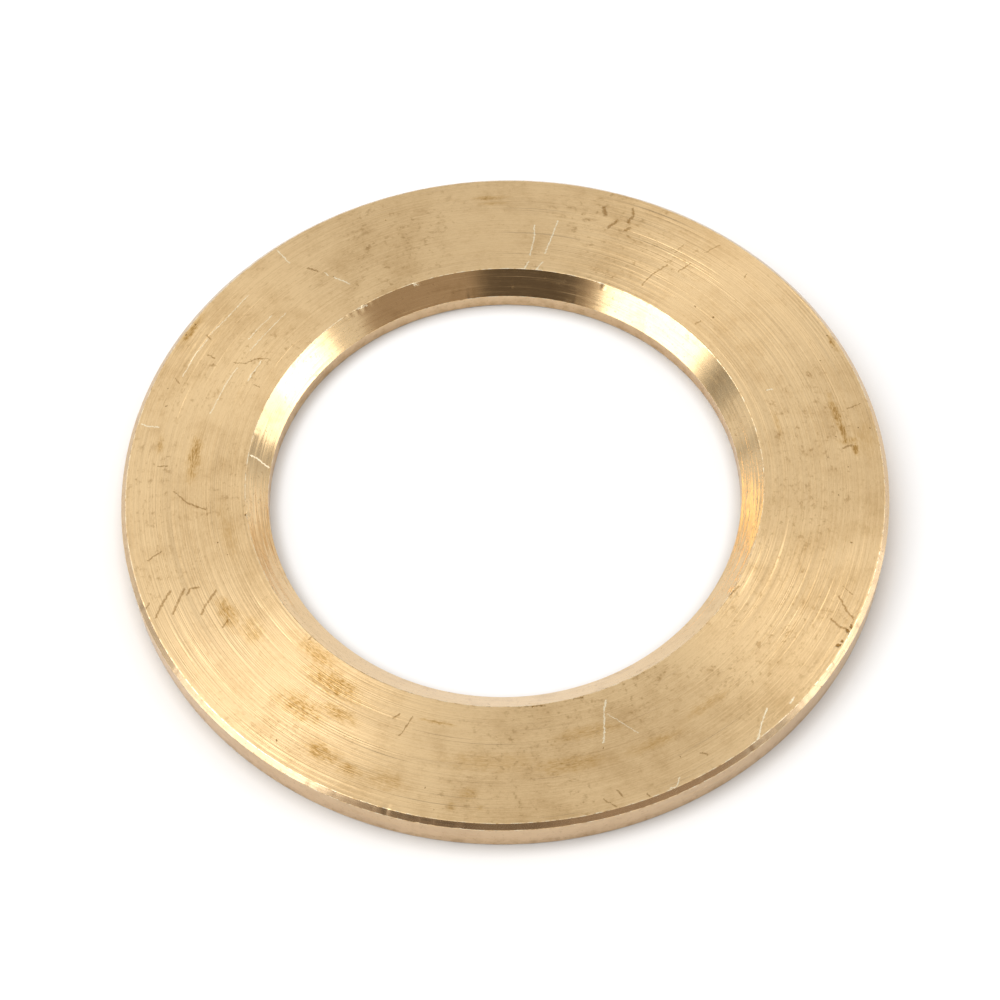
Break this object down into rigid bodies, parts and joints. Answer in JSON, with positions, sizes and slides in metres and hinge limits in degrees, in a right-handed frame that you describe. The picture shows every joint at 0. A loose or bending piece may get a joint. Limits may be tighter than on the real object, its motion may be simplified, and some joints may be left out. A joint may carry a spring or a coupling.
{
  "type": "bronze thrust washer",
  "caption": "Flat turned bronze thrust washer with a wide lead-in chamfer round its bore and a small chamfer round its rim.",
  "frame": {"origin": "on the bore axis, at the back face that the washer rests on", "axes": "+Z along the bore axis, out of the front face that has the lead-in chamfer"},
  "size_m": [0.062, 0.062, 0.003],
  "materials": {
    "bronze": "satin"
  },
  "bodies": {
    "root": {"washer": "bronze"}
  },
  "joints": []
}
